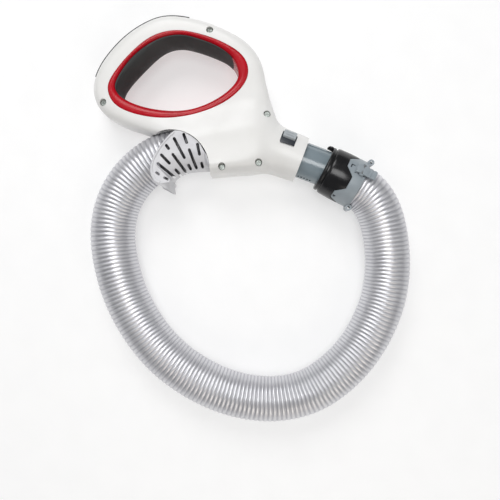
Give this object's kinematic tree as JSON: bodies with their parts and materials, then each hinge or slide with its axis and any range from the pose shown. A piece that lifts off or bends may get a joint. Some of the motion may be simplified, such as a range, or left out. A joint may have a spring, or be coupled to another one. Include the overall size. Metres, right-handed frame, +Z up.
{
  "type": "vacuum cleaner hose handle",
  "caption": "Loop-grip handle for an upright vacuum cleaner, with a slotted hose guard and a corrugated stretch hose whose connector is plugged into the handle's own neck.",
  "frame": {"origin": "on the flat outer side face of the far shell, on the surface that the handle lies on", "axes": "+Z up, square to the handle's parting plane; +X towards the neck's side of the handle; +Y towards the hand loop"},
  "size_m": [0.3163, 0.3962, 0.055],
  "materials": {
    "white_shell": "satin moulded ABS",
    "red_trim": "gloss",
    "dark_grip": "soft matt",
    "screw_steel": "dark zinc",
    "guard_plastic": "satin",
    "duct_plastic": "plain moulded",
    "seal_rubber": "matt",
    "button_grey": "satin",
    "frame_dark": "satin",
    "spigot_grey": "satin gloss",
    "collar_black": "satin gloss",
    "cuff_grey": "satin",
    "pin_steel": "plain",
    "hose_vinyl": "silver grey corrugated vinyl"
  },
  "bodies": {
    "handle": {"shell_front": "white_shell", "shell_back": "white_shell", "trim_ring_front": "red_trim", "trim_ring_back": "red_trim", "grip_pad_inner": "dark_grip", "grip_pad_outer": "dark_grip", "case_screws": "screw_steel", "hose_guard": "guard_plastic", "air_duct": "duct_plastic", "hose_seal": "seal_rubber", "socket_sleeve": "duct_plastic", "socket_bush": "duct_plastic", "socket_seal": "seal_rubber", "button_frame": "frame_dark", "spigot_tube": "spigot_grey", "locking_collar": "collar_black", "cuff_tab_pins": "pin_steel", "connector_cuff": "cuff_grey", "cuff_pins": "pin_steel", "hose_ferrule": "duct_plastic", "hose": "hose_vinyl"},
    "button": {"release_button": "button_grey", "latch_ring": "duct_plastic"},
    "near_tab": {"cuff_tab_near": "cuff_grey"},
    "far_tab": {"cuff_tab_far": "cuff_grey"},
    "swivel": {"hose_swivel_ring": "duct_plastic"}
  },
  "joints": [
    {"name": "button_press", "type": "slide", "parent": "handle", "child": "button", "axis": [-0.2058, -0.5506, -0.809], "range_m": [0, 0.0018], "stiffness_N_per_m": 700, "springref_m": -0.0008},
    {"name": "near_tab_press", "type": "hinge", "parent": "handle", "child": "near_tab", "pos_m": [0.12158, -0.03332, 0.05042], "axis": [0.408, 0.8008, -0.4384], "range_deg": [0, 3], "stiffness_Nm_per_rad": 0.4, "springref_deg": -2.86},
    {"name": "far_tab_press", "type": "hinge", "parent": "handle", "child": "far_tab", "pos_m": [0.11143, -0.05324, 0.00458], "axis": [-0.408, -0.8008, 0.4384], "range_deg": [0, 3], "stiffness_Nm_per_rad": 0.4, "springref_deg": -2.86},
    {"name": "hose_swivel", "type": "hinge", "parent": "handle", "child": "swivel", "pos_m": [-0.0241, -0.0068, 0.0275], "axis": [-0.9925, -0.1219, 0], "continuous": true}
  ]
}
